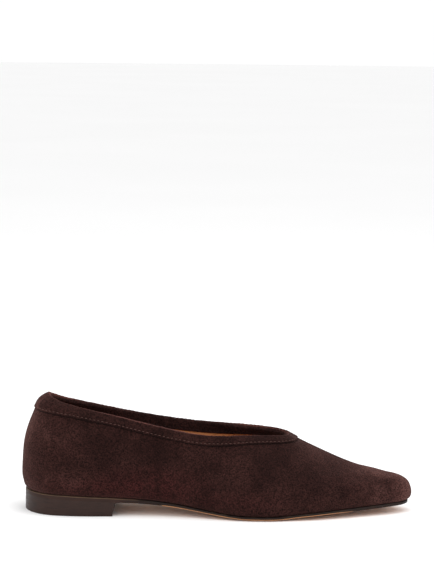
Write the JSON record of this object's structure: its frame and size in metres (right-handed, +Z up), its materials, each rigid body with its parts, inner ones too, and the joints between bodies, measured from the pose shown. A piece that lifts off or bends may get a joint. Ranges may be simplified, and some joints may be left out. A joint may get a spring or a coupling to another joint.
{
  "type": "ballet flat",
  "caption": "Women's right ballet flat in dark brown suede, with a bound topline, soft narrow toe, thin leather sole and low stacked heel.",
  "frame": {"origin": "under the middle of the shoe's bounding box, on the floor", "axes": "+X from heel to toe, +Y towards the inner side of the foot, +Z up"},
  "size_m": [0.2642, 0.0766, 0.0791],
  "materials": {
    "suede": "napped suede, matt",
    "binding_suede": "napped suede, matt",
    "sock_leather": "smooth leather, satin",
    "sole_leather": "painted edge, satin",
    "heel_leather": "burnished, satin"
  },
  "bodies": {
    "root": {"upper": "suede", "topline_binding": "binding_suede", "insole": "sock_leather", "outsole": "sole_leather", "heel_block": "heel_leather"}
  },
  "joints": []
}
